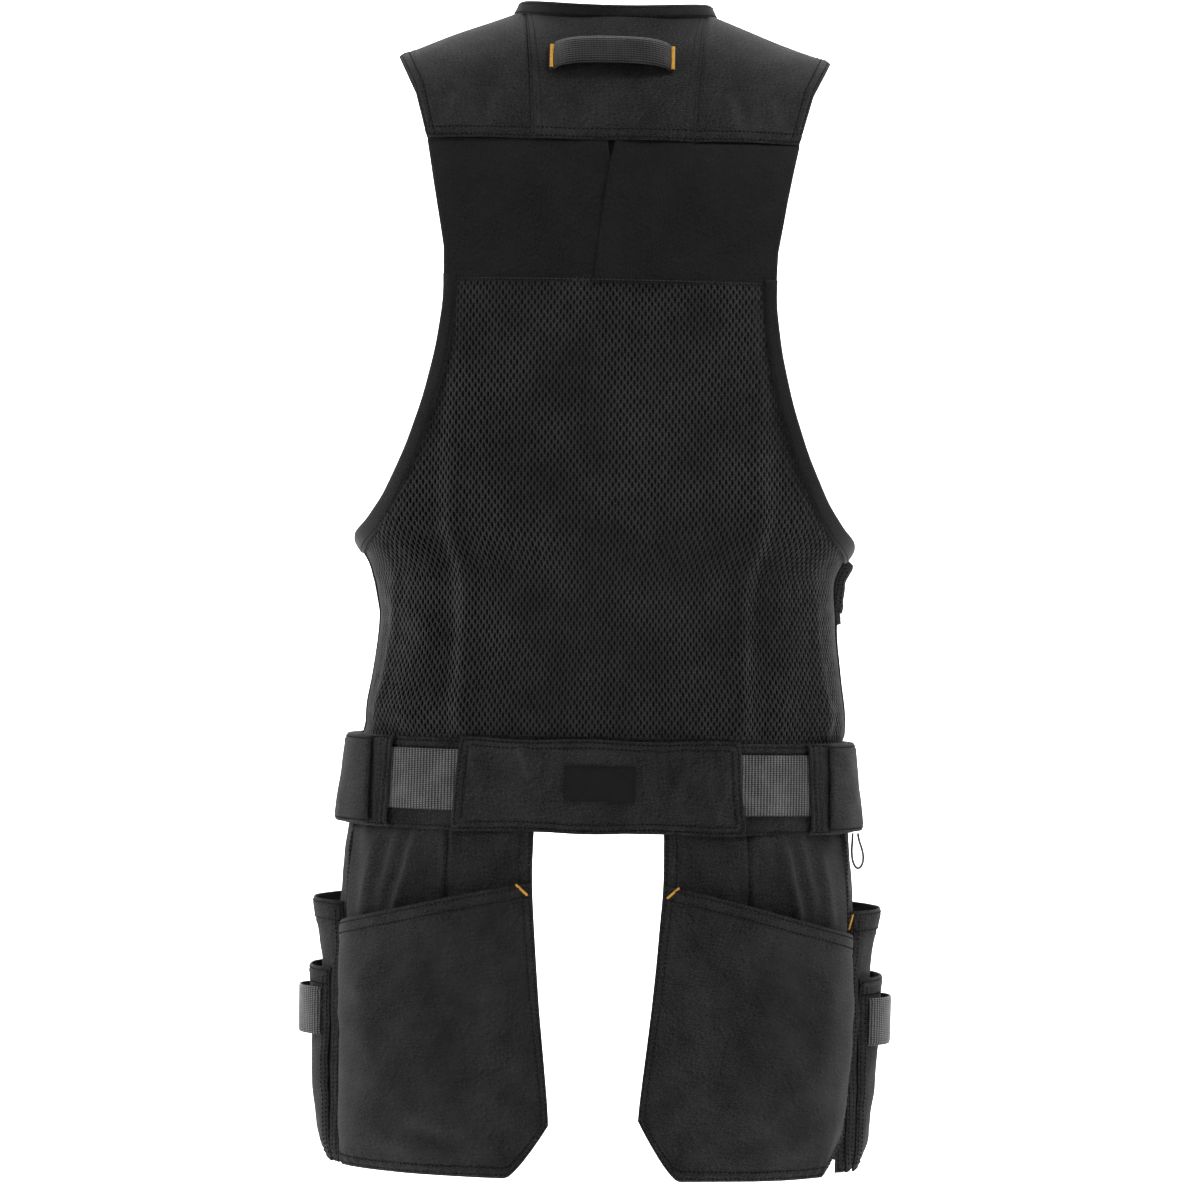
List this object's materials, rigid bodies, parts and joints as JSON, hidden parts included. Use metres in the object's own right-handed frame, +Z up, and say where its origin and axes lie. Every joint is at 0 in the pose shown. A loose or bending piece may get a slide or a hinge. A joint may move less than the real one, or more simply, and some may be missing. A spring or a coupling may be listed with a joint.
{
  "type": "utility work vest",
  "caption": "Sleeveless work vest in its worn shape, with a twill yoke, a mesh back, a webbing belt, and hanging holster pockets with tool loops.",
  "frame": {"origin": "centre of the neck opening, at the height of the back neckline, where the vest hangs from the shoulders", "axes": "+Z up, the wearer faces -Y, +X towards the wearer's left"},
  "size_m": [0.475, 0.2615, 0.9197],
  "materials": {
    "twill": "dark charcoal cotton twill with a fine diagonal rib",
    "stretch": "matt black stretch cloth with a fine grain",
    "mesh": "black open knitted mesh with a slight sheen",
    "webbing": "dark grey ribbed webbing",
    "tape": "black smooth binding tape",
    "patch": "black smooth woven patch, plain",
    "plastic": "black moulded plastic"
  },
  "bodies": {
    "root": {"back_yoke": "twill", "shoulder_panel_left": "twill", "shoulder_panel_right": "twill", "front_panel_left": "twill", "front_panel_right": "twill", "waistband": "twill", "back_waist_panel": "twill", "side_keeper_left": "twill", "side_keeper_right": "twill", "side_keeper_flap_left": "twill", "side_keeper_flap_right": "twill", "holster_back_left": "twill", "holster_back_right": "twill", "back_pocket_left": "twill", "back_pocket_right": "twill", "holster_side_left": "twill", "holster_side_right": "twill", "side_pocket_left": "twill", "side_pocket_right": "twill", "side_pocket_lower_left": "twill", "side_pocket_lower_right": "twill", "chest_pocket_right": "twill", "chest_pocket_flap_right": "twill", "stretch_panel_left": "stretch", "stretch_panel_right": "stretch", "pleat_underlay": "stretch", "mesh_back": "mesh", "hanger_loop": "webbing", "webbing_belt": "webbing", "tool_loop_rear_left": "webbing", "tool_loop_front_left": "webbing", "tool_loop_rear_right": "webbing", "tool_loop_front_right": "webbing", "neck_binding": "tape", "armhole_binding_left": "tape", "armhole_binding_right": "tape", "cord_loop_right": "tape", "label_patch": "patch", "front_zip": "plastic", "belt_buckle": "plastic"}
  },
  "joints": []
}
